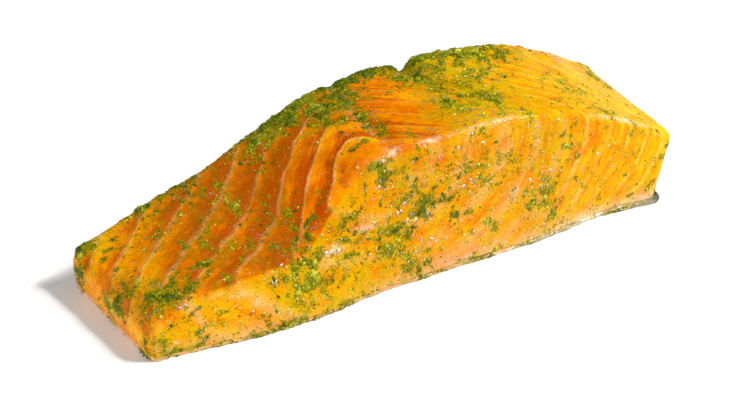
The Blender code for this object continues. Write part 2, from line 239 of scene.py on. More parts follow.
def flesh_surface(x, y, down):
    """Points of the flesh: x and y on the block, and the distance down from its top. Edges come out round."""
    column = top_height(x, y) - FLESH_BASE
    block = np.stack([x, y, down], 1)
    inner = np.stack([
        np.clip(x, EDGE_RADIUS, LENGTH - EDGE_RADIUS),
        np.clip(y, EDGE_RADIUS, WIDTH - EDGE_RADIUS),
        np.maximum(down, EDGE_RADIUS),
    ], 1)
    outward = block - inner
    outward /= np.linalg.norm(outward, axis=1, keepdims=True)
    topness = np.maximum(-outward[:, 2], 0)
    base_share = np.clip(down / column, 0, 1)
    z = FLESH_BASE + column - down
    calm = np.minimum(1, 4 * (1 - base_share))
    depth = (FURROW_ON_SIDES + FURROW_MORE_ON_TOP * topness) * calm * MM
    sunk = furrow(x, y, z, depth, FURROW_WIDTH, FLAKE_STEP * topness * calm * MM)
    sunk += RIDGE_DENT * bump(x, ridge_x(y), RIDGE_DENT_WIDTH) * topness
    for seed, (size, height) in enumerate(LUMPS):
        sunk += height * (0.5 + 0.5 * topness) * calm * noise_at(np.stack([x, y, z], 1), size, 7.3 * seed)
    spot = inner + outward * (EDGE_RADIUS - sunk)[:, None]
    height = top_height(spot[:, 0], spot[:, 1]) - spot[:, 2]
    height = np.where(base_share < 1, np.maximum(height, FLESH_BASE), FLESH_BASE)
    shift_x, shift_y = plan_shift(spot[:, 0], spot[:, 1], (height - FLESH_BASE) / column)
    points = np.stack([spot[:, 0] + shift_x, spot[:, 1] + shift_y, height], 1)
    return points, topness


# %% [markdown]
# Now the grid itself. A top sheet of quads half a millimetre wide is made first. Its rim is then carried down
# the four sides in rings, and one face closes the base. Half a millimetre is about two pixels of the
# photograph, so finer relief can be left to the material.

# %% Flesh mesh
GRID_STEP = 0.5 * MM
ARC_STEPS = 5
SIDE_RINGS = 56


def grid_lines(length):
    arc = [EDGE_RADIUS * (1 - math.tan(math.pi / 4 * (1 - i / ARC_STEPS))) for i in range(ARC_STEPS)]
    count = round((length - 2 * EDGE_RADIUS) / GRID_STEP)
    middle = np.linspace(EDGE_RADIUS, length - EDGE_RADIUS, count + 1)
    return np.concatenate([arc, middle, length - np.array(arc[::-1])])


def flesh_grid():
    """Block coordinates of every point of the grid, and its faces."""
    lines_x, lines_y = grid_lines(LENGTH), grid_lines(WIDTH)
    nx, ny = len(lines_x), len(lines_y)
    top = np.arange(nx * ny).reshape(nx, ny)
    x, y = np.repeat(lines_x, ny), np.tile(lines_y, nx)
    faces = np.stack([top[:-1, :-1], top[1:, :-1], top[1:, 1:], top[:-1, 1:]], 2).reshape(-1, 4)
    rim = np.concatenate([top[:-1, 0], top[-1, :-1], top[:0:-1, -1], top[0, :0:-1]])
    column = top_height(x[rim], y[rim]) - FLESH_BASE
    arc = [EDGE_RADIUS * (1 - math.tan(math.pi / 4 * (1 - i / ARC_STEPS))) for i in range(1, ARC_STEPS + 1)]
    depths = [0 * column + depth for depth in arc]
    depths += [EDGE_RADIUS + (column - EDGE_RADIUS) * i / SIDE_RINGS for i in range(1, SIDE_RINGS + 1)]
    side = nx * ny + np.arange(len(depths) * len(rim)).reshape(len(depths), len(rim))
    rings = np.vstack([rim, side])
    after = np.roll(rings, -1, axis=1)
    walls = np.stack([rings[:-1], rings[1:], after[1:], after[:-1]], 2).reshape(-1, 4)
    x = np.concatenate([x, np.tile(x[rim], len(depths))])
    y = np.concatenate([y, np.tile(y[rim], len(depths))])
    down = np.concatenate([np.zeros(nx * ny), np.concatenate(depths)])
    return x, y, down, np.vstack([faces, walls]).tolist() + [side[-1][::-1].tolist()]


def new_piece(name, points, faces, node):
    """A mesh object in the frame of the solids, riding with them and standing for one of them."""
    data = bpy.data.meshes.new(name)
    data.from_pydata(in_frame(points), [], faces)
    data.shade_smooth()
    piece = bpy.data.objects.new(name, data)
    bpy.context.scene.collection.objects.link(piece)
    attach(piece, "root")
    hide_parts(node)
    return piece


def store(piece, name, values):
    layer = piece.data.attributes.new(name, "FLOAT", "POINT")
    layer.data.foreach_set("value", np.asarray(values, np.float32))


grid_x, grid_y, grid_down, flesh_faces = flesh_grid()
flesh_points, topness = flesh_surface(grid_x, grid_y, grid_down)
flesh = new_piece("salmon_portion", flesh_points, flesh_faces, "salmon_flesh")
flesh_normals = np.array([vert.normal[:] for vert in flesh.data.vertices])
print("flesh triangles:", sum(len(face) - 2 for face in flesh_faces))

# %% [markdown]
# The marinade decides much of the colour, so we settle now where the dill lies. Chopped dill clings in
# patches: thick along the rear ridge, in a heap at the belly's front corner, down the front cut, and thin
# in between. Each patch is a soft spot with a place, a spread and a cover from 0 to 1. A patch belongs to one
# side of the portion, and a point feels it only as far as it faces that way. Noise then breaks every patch
# into clumps, and adds small clumps between the patches, except where the flesh is bare.
# Along the rear ridge the dill is so thick that it makes a mat, so there the flesh mesh itself is raised.

# %% Where the dill lies
TOP, FRONT, BELLY_END, REAR, BACK_END = (0, 0, 1), (0, -1, 0), (-1, 0, 0), (0, 1, 0), (1, 0, 0)
ACROSS_UP = {TOP: (0, 1), FRONT: (0, 2), REAR: (0, 2), BELLY_END: (1, 2), BACK_END: (1, 2)}
# side, place across and up in mm, spread across and up in mm, cover
DILL_PATCHES = (
    (TOP, 80, 41, 36, 3.6, 1.0), (TOP, 22, 40, 12, 2.0, 0.7), (TOP, 2, 39, 4, 3.0, 0.85),
    (TOP, 71, 34, 8, 5.5, 1.0), (TOP, 57, 38, 10, 4.0, 0.95), (TOP, 66, 27, 6, 4.0, 0.6),
    (TOP, 73, 20, 2.4, 9.0, 0.75), (TOP, 97, 33, 8, 6.0, 0.8), (TOP, 97, 15, 8, 8.0, 0.6),
    (TOP, 104, 12, 5, 8.0, 0.6), (TOP, 99, 24, 7, 4.5, 0.6), (TOP, 131, 18, 7, 7.0, 0.45),
    (TOP, 134, 3, 5, 3.5, 0.5), (TOP, 149, 30, 2.5, 8.0, 0.6), (TOP, 2, 14, 4, 7.0, 0.75),
    (TOP, 7, 7, 6.5, 6.0, 0.95), (TOP, 12, 3, 4, 3.0, 0.7), (TOP, 44, 2, 6, 4.0, 0.5),
    (TOP, 15, 27, 4, 3.0, 0.4), (TOP, 24, 16, 3, 4.0, 0.4), (TOP, 113, 36, 13, 6.0, 0.85),
    (TOP, 110, 25, 8, 6.0, 0.55), (TOP, 47, 30, 2.4, 4.5, 0.4), (TOP, 36, 33, 3, 3.0, 0.4),
    (TOP, 29, 24, 3, 3.0, 0.35), (TOP, 28, 12, 3, 3.0, 0.4), (TOP, 45.5, 11.5, 2.5, 2.5, 0.5),
    (TOP, 34, 9, 3, 3.0, 0.4), (TOP, 37, 24, 3, 4.0, 0.4),
    (FRONT, 69, 14, 6, 7.0, 0.65), (FRONT, 73, 7, 5, 5.0, 0.5), (FRONT, 66, 33, 4, 4.5, 0.65),
    (FRONT, 44, 12, 7, 8.0, 0.75), (FRONT, 37, 12, 5, 5.0, 0.4), (FRONT, 112, 13, 5, 8.0, 0.5),
    (FRONT, 1, 4, 4, 4.0, 0.6), (FRONT, 90, 1.5, 5, 1.6, 0.45), (FRONT, 75, 22, 8, 6.0, 0.5),
    (FRONT, 42, 1, 24, 1.5, 0.6), (FRONT, 8, 1, 9, 1.8, 0.7), (FRONT, 95, 26, 16, 7.0, 0.4),
    (FRONT, 110, 1.5, 10, 1.4, 0.4), (FRONT, 52, 9, 7, 6.0, 0.45), (FRONT, 58, 20, 6, 5.0, 0.5),
    (BELLY_END, 18, 7, 5, 3.5, 0.85), (BELLY_END, 36, 6, 3, 5.0, 0.75), (BELLY_END, 1, 4, 2, 4.0, 0.5),
    (REAR, 35, 12, 9, 5.0, 0.5), (REAR, 84, 26, 12, 8.0, 0.55), (REAR, 124, 16, 10, 6.0, 0.5),
    (BACK_END, 14, 12, 6, 4.0, 0.4), (BACK_END, 32, 8, 5, 4.0, 0.35),
)
BARE_PATCHES = (
    (TOP, 84, 14, 6, 13, 1.0), (TOP, 51, 20, 8, 11, 0.9), (TOP, 118, 16, 8, 14, 0.8),
    (TOP, 139, 20, 13, 20, 0.9), (FRONT, 30, 8, 7, 6, 0.7), (FRONT, 132, 16, 12, 12, 0.6),
    (FRONT, 56, 30, 5, 6, 0.8), (BELLY_END, 8, 5, 7, 8, 1.0), (BELLY_END, 27, 5, 5, 8, 0.9),
)
MAT_THICKNESS, MAT_SPREAD = 1.15 * MM, 5 * MM
BETWEEN_CLUMPS, BETWEEN_ON_RIDGE, STRAY_COVER = 0.3, 0.4, 0.75


def towards(normals, side, gain=1.6, least=0.4):
    """1 where a point looks to the side, and 0 where it looks away."""
    return np.clip(gain * normals @ np.array(side) - least, 0, 1)


def fade_in(values, start, span):
    """0 up to the start, then a straight line up to 1 over the span."""
    return np.clip((values - start) / span, 0, 1)


def patches_at(points, normals, patches):
    """The strongest patch felt at each point."""
    felt = np.zeros(len(points))
    for side, across, up, spread_across, spread_up, strength in patches:
        a, b = ACROSS_UP[side]
        spot = bump(points[:, a], across * MM, spread_across * MM)
        spot *= bump(points[:, b], up * MM, spread_up * MM)
        felt = np.maximum(felt, strength * spot * towards(normals, side))
    return np.minimum(felt, 1)


def clumps_at(points, pitch, low, high, seed):
    """Soft-edged clumps: 0 where the noise is below low, 1 where it is above high."""
    return fade_in(noise_at(points, pitch, seed), low, high - low)


patches = patches_at(flesh_points, flesh_normals, DILL_PATCHES)
bare = patches_at(flesh_points, flesh_normals, BARE_PATCHES)
rear_edge = bump(flesh_points[:, 1], WIDTH, MAT_SPREAD)
between = BETWEEN_CLUMPS + BETWEEN_ON_RIDGE * rear_edge
dill_cover = patches * (between + 0.9 * clumps_at(flesh_points, 2.6 * MM, -0.25, 0.25, 11))
strays = clumps_at(flesh_points, 2.0 * MM, 0.1, 0.45, 5) * clumps_at(flesh_points, 9 * MM, -0.3, 0.3, 2)
dill_cover = np.clip(np.maximum(dill_cover, STRAY_COVER * strays * (1 - bare)), 0, 1)
on_ridge = rear_edge * towards(flesh_normals, TOP, 1, -0.3)
raised = MAT_THICKNESS * (patches + dill_cover) / 2 * on_ridge
flesh_points = flesh_points + flesh_normals * raised[:, None]
flesh.data.vertices.foreach_set("co", in_frame(flesh_points).ravel())
flesh.data.update()
flesh_normals = np.array([vert.normal[:] for vert in flesh.data.vertices])
print("share of the surface under dill:", round(float((dill_cover > 0.4).mean()), 2))

# %% [markdown]
# Each point of the flesh now learns what it needs for its colour. The loin is golden and the belly slope a
# deep orange, darkest at the foot of the slope, where that deep orange is partly painted shade of the hollow.
# Flames of a purer orange lie where the dill has left no stain; the brightest ones, on the front of the belly
# slope and on the belly end, are painted light on faces that turn away from the large light. Around the dill
# the flesh is steeped in green oil, and the brown it turns on the belly is partly painted shade under the
# dill.
# The foot of the front cut, where the flesh meets the skin, is pink, and so are a few patches of connective
# tissue at the back edge. White fat lies open along the top edge of the front cut, in a band that runs down
# to the foot at the belly, and as a pale seam above the skin; along that top edge and where the oil pools
# lie, part of the white is a painted highlight of the wet surface. A pale line along the ridge crest is
# partly a painted highlight too. Within each flake the colour is painted darker at one sheet and lighter
# towards the next, as painted shade of the overlapping flakes. Fat lines are narrow on the top, and wide and
# soft where the front cut crosses them at a slant, and they turn from peach to yellow towards the loin. All
# of this is stored as attributes of the mesh, which a material can read.

# %% Colour zones
BLUSH_PATCHES = (
    (TOP, 136, 39.5, 3.2, 2.0, 1.2), (TOP, 141, 36.5, 2.6, 2.6, 0.9), (TOP, 147, 32, 1.6, 2.5, 0.7),
    (FRONT, 84, 2.5, 14, 3.2, 1.0), (FRONT, 26, 2, 14, 2.4, 0.5), (FRONT, 143, 3, 5, 3.0, 0.4),
    (FRONT, 115, 2, 9, 2.8, 0.6), (BELLY_END, 14, 5, 12, 8, 0.2), (REAR, 75, 3, 60, 2.5, 0.6),
    (BACK_END, 20, 4, 20, 3.0, 0.7),
)
# Flames of purer orange; the strongest, on the front of the belly slope and on the belly end, are painted
# light that brightens faces turned away from the large light.
FLAME_AND_LIGHT_PATCHES = (
    (TOP, 59, 5, 9, 10, 2.2), (TOP, 51, 6, 6, 9, 1.8), (TOP, 54, 14, 8, 9, 1.0), (TOP, 64, 20, 5, 7, 0.9),
    (TOP, 85, 24, 6, 6, 0.9), (TOP, 80, 33, 6, 5, 0.8), (FRONT, 62, 24, 6, 9, 0.8),
    (FRONT, 78, 13, 5, 7, 0.55), (FRONT, 92, 22, 4, 7, 0.4), (FRONT, 106, 16, 4, 8, 0.5),
    (FRONT, 122, 20, 3, 8, 0.4), (FRONT, 128, 8, 5, 5, 0.4), (FRONT, 50, 12, 4, 7, 0.5),
    (TOP, 36, 14, 9, 7, 0.3), (TOP, 44, 30, 6, 6, 0.4), (FRONT, 22, 9, 8, 5, 0.3),
    (REAR, 60, 20, 9, 8, 0.6), (BELLY_END, 22, 4, 18, 6, 0.8),
)
# Patches of white fat; those along the top edge of the front cut and near the oil pools are partly painted
# highlights of the wet surface.
PALE_FAT_AND_GLARE_PATCHES = (
    (TOP, 70, 2.2, 2.2, 1.4, 0.9), (FRONT, 66, 35, 3.0, 2.0, 0.7), (FRONT, 52, 15.5, 4.0, 1.4, 1.0),
    (FRONT, 61, 19, 3.5, 1.2, 0.8), (FRONT, 2, 10.5, 1.2, 1.6, 0.6), (TOP, 80, 0.8, 4.5, 0.9, 1.1),
    (TOP, 97, 0.8, 9.0, 0.9, 1.2), (TOP, 138, 0.8, 10, 0.8, 1.2), (FRONT, 19, 13.8, 3.5, 0.7, 0.5),
    (FRONT, 24, 12.2, 2.8, 0.8, 0.7), (FRONT, 29, 9.2, 2.2, 1.2, 0.5), (FRONT, 34, 5.4, 2.2, 1.2, 0.5),
    (FRONT, 39, 2.0, 2.4, 0.9, 0.65), (FRONT, 20, 2.6, 5.0, 1.0, 0.5), (FRONT, 74, 30, 3.0, 1.5, 0.6),
    (TOP, 76, 35, 2.0, 3.0, 0.5), (FRONT, 104, 17, 4.0, 1.5, 0.5), (FRONT, 112, 8, 5.0, 1.5, 0.5),
)
# Each table along the portion gives mm from the belly edge, and the value there.
# The gold along the top is partly the flesh's own change from belly to loin and partly painted shade: its low
# between 34 and 50 mm darkens the foot of the belly slope, a hollow turned away from the large light.
GOLD_AND_SHADE_ALONG_TOP = (
    (0, 0.46), (10, 0.38), (22, 0.22), (34, 0.08), (50, 0.0), (58, 0.2), (66, 0.34), (74, 0.24),
    (84, 0.38), (100, 0.52), (120, 0.56), (138, 0.77), (150, 0.85),
)
GOLD_ALONG_FRONT = (
    (0, 0.6), (30, 0.66), (45, 0.7), (60, 0.6), (75, 0.55), (108, 0.58), (130, 0.64), (150, 0.84),
)
WIDTH_ALONG_TOP = ((0, 0.7), (34, 0.62), (48, 0.44), (66, 0.4), (76, 0.3), (150, 0.3))
WIDTH_ALONG_FRONT = (
    (0, 0.6), (30, 0.8), (60, 0.6), (76, 1.0), (100, 1.1), (118, 0.6), (130, 0.35), (150, 0.3),
)
SOFT_ALONG_FRONT = ((0, 0.6), (60, 0.7), (76, 1.1), (100, 1.1), (118, 0.5), (130, 0.25), (150, 0.25))
STRENGTH_ALONG_FRONT = ((0, 0.8), (22, 1.0), (44, 0.8), (60, 0.65), (110, 0.7), (124, 0.95), (150, 1.0))
FOOT_ALONG_FRONT = (
    (0, 0.2), (12, 0.5), (30, 0.6), (40, 0.2), (56, 0.4), (66, 0.8), (80, 0.5), (92, 0.9), (102, 0.5),
    (112, 1.0), (128, 1.0), (134, 0.8), (150, 1.0),
)
# How far the flesh is steeped in oil; the dark brown this gives on the belly is partly painted shade under
# the dill.
STEEPED_AND_SHADED_ALONG_TOP = (
    (0, 0.3), (8, 0.4), (16, 0.7), (44, 0.9), (54, 0.75), (60, 0.3), (66, 0.0), (78, 0.25), (92, 0.95),
    (110, 0.95), (118, 0.5), (126, 0.3), (150, 0.15),
)
STEEPED_AND_SHADED_ALONG_FRONT = (
    (0, 0.35), (20, 0.5), (30, 0.45), (42, 0.9), (60, 0.75), (72, 0.8), (84, 0.4), (98, 0.2),
    (112, 0.7), (124, 0.2), (150, 0.1),
)
LOIN_FADE_IN = ((86, 0.25), (106, 1.0))
GOLD_SLANT, FOOT_GOLD, FOOT_GOLD_HEIGHT, END_LESS_GOLD = 4 * MM, 0.12, 12 * MM, 0.12
FOOT_HEIGHT, STEEPED_AND_SHADED_SPREAD, BELLY_END_DEPTH = 4.4 * MM, 1.7, 4 * MM
RIDGE_LINE_WIDTH, RIDGE_CLEAR_WIDTH = 1.1 * MM, 5 * MM
x, y, z = flesh_points.T
on_top = towards(flesh_normals, TOP, 1.8, 0.3)


def along(table, values):
    knots = np.array(table)
    return np.interp(values, knots[:, 0] * MM, knots[:, 1])


def over_edge(top_value, side_value):
    """One value on the top and another on the sides, blended over the round edge."""
    return on_top * top_value + (1 - on_top) * side_value


back_side = np.clip((x - ridge_x(y)) / MM + 0.5, 0, 1)
gold_and_shade_top = along(GOLD_AND_SHADE_ALONG_TOP, x - GOLD_SLANT * y / WIDTH)
gold_front = along(GOLD_ALONG_FRONT, x) + FOOT_GOLD * np.clip(1 - z / FOOT_GOLD_HEIGHT, 0, 1)
facing_end = towards(flesh_normals, BELLY_END, 1.6, 0.3) * (x < BELLY_END_DEPTH)
loin = np.maximum(along(LOIN_FADE_IN, x), 1 - back_side)
halos = [
    (side, across, up, STEEPED_AND_SHADED_SPREAD * wide, STEEPED_AND_SHADED_SPREAD * high, cover)
    for side, across, up, wide, high, cover in DILL_PATCHES
]
flame = patches_at(flesh_points, flesh_normals, FLAME_AND_LIGHT_PATCHES)
steeped_and_shaded = over_edge(along(STEEPED_AND_SHADED_ALONG_TOP, x), along(STEEPED_AND_SHADED_ALONG_FRONT, x)) * (1 - facing_end)
steeped_and_shaded = np.maximum(patches_at(flesh_points, flesh_normals, halos), steeped_and_shaded) * (1 - flame)
off_ridge = 1 - 0.95 * bump(x, ridge_x(y), RIDGE_CLEAR_WIDTH) * fade_in(z, 30 * MM, 3 * MM)
foot = (1 - on_top) * along(FOOT_ALONG_FRONT, x) * np.clip(1.2 - z / FOOT_HEIGHT, 0, 1)
line_strength = over_edge(loin * (0.85 + 0.1 * back_side), along(STRENGTH_ALONG_FRONT, x))
zones = {
    "gold_and_shade": over_edge(gold_and_shade_top, gold_front) - END_LESS_GOLD * facing_end,
    "flame": flame,
    "blush": patches_at(flesh_points, flesh_normals, BLUSH_PATCHES),
    "dill": dill_cover,
    "pale_and_glare": np.maximum(foot, patches_at(flesh_points, flesh_normals, PALE_FAT_AND_GLARE_PATCHES)),
    "steeped_and_shaded": steeped_and_shaded,
    "fat_strength": (1 - 0.9 * facing_end) * off_ridge * line_strength,
    "fat_width": over_edge(along(WIDTH_ALONG_TOP, x), along(WIDTH_ALONG_FRONT, x)),
    "fat_softness": over_edge(along(WIDTH_ALONG_TOP, x), along(SOFT_ALONG_FRONT, x)),
    "fine_fat": (0.2 + 0.35 * on_top) * back_side * (loin - 0.25),
    "fat_gold": over_edge(fade_in(x, 80 * MM, 20 * MM), np.minimum(fade_in(x, 112 * MM, 30 * MM), 0.8)),
    # painted shade of the overlapping flakes, strongest on the top
    "shingle_shade": (0.25 + 0.75 * on_top) * (1 - 0.7 * back_side),
    "ridge": bump(x, ridge_x(y), RIDGE_LINE_WIDTH) * on_top,
    "back_side": back_side,
}
for side, sheets in (("belly", BELLY_SHEETS), ("back", BACK_SHEETS)):
    number, pitch = sheet_number(x, y, z, *sheets)
    zones[side + "_sheets"] = number
    zones[side + "_pitch"] = pitch / MM
for name, values in zones.items():
    store(flesh, name, values)
print("zones stored:", ", ".join(zones))

# %% [markdown]
# A few helpers serve every material. One turns an sRGB colour, as a colour picker shows it, into the linear
# values that Blender computes with. One adds a node to the material that is being made, which is always
# called tree. What feeds a node is given in the order of its open sockets, and its options and named sockets
# follow. Each may be a number, a colour, or another node, which is then linked. Options that come up again
# and again get names first.

# %% Material helpers
SMOOTH, COLOURS = {"interpolation_type": "SMOOTHSTEP"}, {"data_type": "RGBA"}
TIMES, TIMES_PLUS = {"operation": "MULTIPLY"}, {"operation": "MULTIPLY_ADD"}


def linear(code):
    channels = [int(code[i:i + 2], 16) / 255 for i in (1, 3, 5)]
    return (*[c / 12.92 if c <= 0.04045 else ((c + 0.055) / 1.055) ** 2.4 for c in channels], 1)


def empty_material(name):
    material = bpy.data.materials.new(name)
    material.use_nodes = True
    material.node_tree.nodes.clear()
    return material


def add_node(kind, *feeds, **settings):
    node = tree.nodes.new("ShaderNode" + kind)
    fed = []
    for name, value in settings.items():
        if name in node.inputs:
            fed.append((node.inputs[name], value))
        else:
            setattr(node, name, value)
    fed += zip([socket for socket in node.inputs if socket.enabled], feeds)
    for socket, value in fed:
        if isinstance(value, bpy.types.Node):
            value = next(output for output in value.outputs if output.enabled)
        if isinstance(value, bpy.types.NodeSocket):
            tree.links.new(value, socket)
        else:
            socket.default_value = value
    return node


def all_of(amount, *others):
    """The product of several amounts, for what shows only where all of them do."""
    for other in others:
        amount = add_node("Math", amount, other, **TIMES)
    return amount


def set_stops(ramp, *stops):
    """Gives a colour ramp its positions and colours."""
    elements = ramp.color_ramp.elements
    elements.remove(elements[1])
    elements[0].position, elements[0].color = stops[0]
    for position, colour in stops[1:]:
        elements.new(position).color = colour


print("salmon orange in linear light:", [round(v, 3) for v in linear("#F08A14")])

# %% [markdown]
# The flesh is raw muscle under a film of oil. Light enters it and comes out orange a few millimetres away,
# which blurs the fat lines, so it is a subsurface material. Its orange is a carotene, which leaves almost no
# blue. We read the zones first, and make the noises. Streaks are a noise whose place is shifted by the sheet
# number, so it changes fast across the sheets and slowly along them, as muscle fibres do.

# %% Flesh: zones and noises
SHEET_WANDER = 0.3
salmon = empty_material("raw_salmon_oiled")
tree = salmon.node_tree
zone = {name: add_node("Attribute", attribute_name=name).outputs["Fac"] for name in zones}
where = add_node("TexCoord").outputs["Object"]
bend, worn, patchy, crumb, fine, speckle = (
    add_node("TexNoise", where, Scale=1 / (size * MM), Detail=detail)
    for size, detail in ((7, 2), (10, 3), (4.5, 3), (2, 3), (0.9, 4), (0.5, 1))
)
sheet, sheet_pitch = (
    add_node("Mix", zone["back_side"], zone["belly_" + what], zone["back_" + what])
    for what in ("sheets", "pitch")
)
wander = add_node("Math", bend, SHEET_WANDER, -SHEET_WANDER / 2, **TIMES_PLUS)
sheet_bent = add_node("Math", wander, sheet, operation="ADD")


def streaks(length, count):
    """Noise drawn out along the sheets: length of a streak, and streaks from one sheet to the next."""
    place = add_node("VectorMath", where, 1 / length, operation="SCALE")
    across, aside = (add_node("Math", sheet_bent, step * count, **TIMES) for step in (1, -0.7))
    shift = add_node("CombineXYZ", across, aside)
    moved = add_node("VectorMath", place, shift, operation="ADD")
    return add_node("TexNoise", moved, Scale=1, Detail=3)


fibres, hairs = streaks(9 * MM, 5), streaks(5 * MM, 14)
print("flesh nodes so far:", len(tree.nodes))

# %% [markdown]
# The fat lines are the places where the stored sheet number is whole. A ping-pong wave gives the distance to
# the nearest whole number, and the pitch turns that into millimetres. The bent number makes the lines waver,
# and more noise thins and breaks them. On the loin a finer line runs between every two.

# %% Flesh: fat lines
FAT_WAVER, FINE_LINE_WIDTH, FINE_LINE_SOFTNESS = 0.9, 0.1, 0.25


def fat_line(number, pitch, half_width, softness):
    """1 in the middle of a fat line, and 0 away from it. The widths are in mm."""
    wave = add_node("Math", number, 0.5, operation="PINGPONG")
    inside = add_node("Math", half_width, add_node("Math", wave, pitch, **TIMES), operation="SUBTRACT")
    wavering = add_node("Math", crumb, FAT_WAVER, inside, **TIMES_PLUS)
    centred = add_node("Math", wavering, FAT_WAVER / 2, operation="SUBTRACT")
    return add_node("MapRange", add_node("Math", centred, softness, operation="DIVIDE"), -1, 1, **SMOOTH)


wide_line = fat_line(sheet_bent, sheet_pitch, zone["fat_width"], zone["fat_softness"])
doubled, half_pitch = add_node("Math", sheet_bent, 2, **TIMES), add_node("Math", sheet_pitch, 0.5, **TIMES)
fine_line = fat_line(doubled, half_pitch, FINE_LINE_WIDTH, FINE_LINE_SOFTNESS)
thinned = add_node("MapRange", patchy, 0.35, 0.58, 0.3, 1, **SMOOTH)
broken = all_of(thinned, add_node("MapRange", worn, 0.38, 0.52, 0.35, 1, **SMOOTH))
past_axis = add_node("MapRange", sheet, 0.3, 0.8, **SMOOTH)
fat_amount = all_of(wide_line, zone["fat_strength"], broken, past_axis)
# A pale line along the ridge crest: partly fat, partly a painted highlight on the wet crest.
ridge_fat_and_highlight = all_of(add_node("MapRange", crumb, 0.4, 0.6, **SMOOTH), zone["ridge"], 0.8)
for other in (all_of(fine_line, zone["fine_fat"], broken), ridge_fat_and_highlight):
    fat_amount = add_node("Math", fat_amount, other, operation="MAXIMUM")
print("flesh nodes with the fat lines:", len(tree.nodes))

# %% [markdown]
# The colour of the muscle itself is one number, its hue, that a ramp turns into red-orange to gold. It starts
# from the stored gold, which holds painted shade at the foot of the belly slope, rises within each flake
# towards its next line as painted shade of the overlapping flakes, and is streaked by the fibres. The other
# colours are laid over it from the deepest to the topmost: flames, partly painted light, pink tissue, fat
# lines, with a pale line along the ridge that is partly a painted highlight, white fat with a ragged edge,
# partly a painted highlight too, steeped oil, which is brown on the belly, partly as painted shade under the
# dill, and green-gold on the loin, and last the fine matted dill that is too small to be made as scraps.

# %% Flesh: colour
DEEP_ORANGE, RED_ORANGE, ORANGE = linear("#BE4C00"), linear("#DC6400"), linear("#F48400")
# The flame orange is in places painted light.
GOLD, PALE_GOLD, FLAME_ORANGE_AND_LIGHT = linear("#FEA404"), linear("#FAC40C"), linear("#FF5E00")
# The white fat colour is in places a painted highlight.
PEACH_FAT, YELLOW_FAT, WHITE_FAT_AND_GLARE = linear("#FFBA70"), linear("#FFD240"), linear("#FFDEB8")
# The brown oil colour is partly painted shade under the dill.
BLUSH, BROWN_OIL_AND_SHADE, GREEN_OIL = linear("#FF9474"), linear("#925000"), linear("#CCA600")
MATTED, DARK_MATTED = linear("#9A8E04"), linear("#5A6600")
# Painted shade of the overlapping flakes: each flake is darker just past one sheet and lighter towards the
# next.
share_of_flake = add_node("Math", add_node("Math", sheet_bent, operation="FRACT"), 0.45, operation="SUBTRACT")
flake_shade = add_node("Math", share_of_flake, all_of(past_axis, zone["shingle_shade"]), **TIMES)
hue = add_node("Math", flake_shade, 0.8, zone["gold_and_shade"], **TIMES_PLUS)
smoother = add_node("Math", zone["shingle_shade"], -0.6, 1.2, **TIMES_PLUS)
grain = all_of(add_node("MapRange", sheet, 0.4, 1.4, 0.2, 1, **SMOOTH), smoother)
for source, share in ((patchy, 1.0), (fibres, 1.1), (hairs, 0.7)):
    shift = add_node("Math", source, 0.5, operation="SUBTRACT")
    if source != patchy:
        shift = add_node("Math", shift, grain, **TIMES)
    hue = add_node("Math", shift, share, hue, **TIMES_PLUS)
muscle_colour = add_node("ValToRGB", hue)
set_stops(
    muscle_colour, (0.0, DEEP_ORANGE), (0.15, RED_ORANGE), (0.38, ORANGE), (0.65, GOLD), (1.0, PALE_GOLD)
)
crumbly_dill = add_node("Math", crumb, 0.6, zone["dill"], **TIMES_PLUS)
clotted = add_node("Math", speckle, 0.9, crumbly_dill, **TIMES_PLUS)
matted = add_node("MapRange", clotted, 0.92, 1.3, 0, 0.85, **SMOOTH)
matted_tone = add_node("MapRange", fine, 0.35, 0.65, **SMOOTH)
blotchy = add_node("Math", patchy, crumb, operation="ADD")
# Steeped oil, brown on the belly and partly painted shade there, green-gold on the loin.
oiled_and_shaded = all_of(zone["steeped_and_shaded"], add_node("MapRange", blotchy, 0.7, 1.2, 0.3, 1, **SMOOTH))
loin_oil = add_node("MapRange", zone["gold_and_shade"], 0.3, 0.5, **SMOOTH)
blushed = all_of(zone["blush"], add_node("MapRange", crumb, 0.36, 0.52, 0.3, 1, **SMOOTH))
# White fat with a ragged edge, in places a painted highlight along the wet top edge and near the oil pools.
fine_edge = add_node("Math", fine, 1.2, zone["pale_and_glare"], **TIMES_PLUS)
ragged = add_node("Math", crumb, 2, fine_edge, **TIMES_PLUS)
pale_and_glare = all_of(zone["pale_and_glare"], add_node("MapRange", ragged, 1.75, 2.35, 0.15, 1, **SMOOTH))
# Flames, partly painted light on the belly slope and the belly end.
flaming_and_lit = all_of(zone["flame"], add_node("MapRange", fibres, 0.3, 0.55, 0.6, 1, **SMOOTH))
fat_colour = add_node("Mix", zone["fat_gold"], PEACH_FAT, YELLOW_FAT, **COLOURS)
oil_and_shade_colour = add_node("Mix", loin_oil, BROWN_OIL_AND_SHADE, GREEN_OIL, **COLOURS)
matted_colour = add_node("Mix", matted_tone, DARK_MATTED, MATTED, **COLOURS)
paint = muscle_colour
for amount, colour in (
    (flaming_and_lit, FLAME_ORANGE_AND_LIGHT), (blushed, BLUSH), (fat_amount, fat_colour), (pale_and_glare, WHITE_FAT_AND_GLARE),
    (oiled_and_shaded, oil_and_shade_colour), (matted, matted_colour),
):
    paint = add_node("Mix", amount, paint, colour, **COLOURS)
print("flesh nodes with the colours:", len(tree.nodes))

# %% [markdown]
# The surface itself: fibres and fine grain as a bump on the muscle, and a smoother, larger bump on the oil.
# Wet muscle has almost the same index as the oil on it, so hardly any light is mirrored between the two, and
# the muscle's own specular level is close to nothing. What shines is the oil, which is the coat: thin, and
# thinnest on the loin, where it has run off.

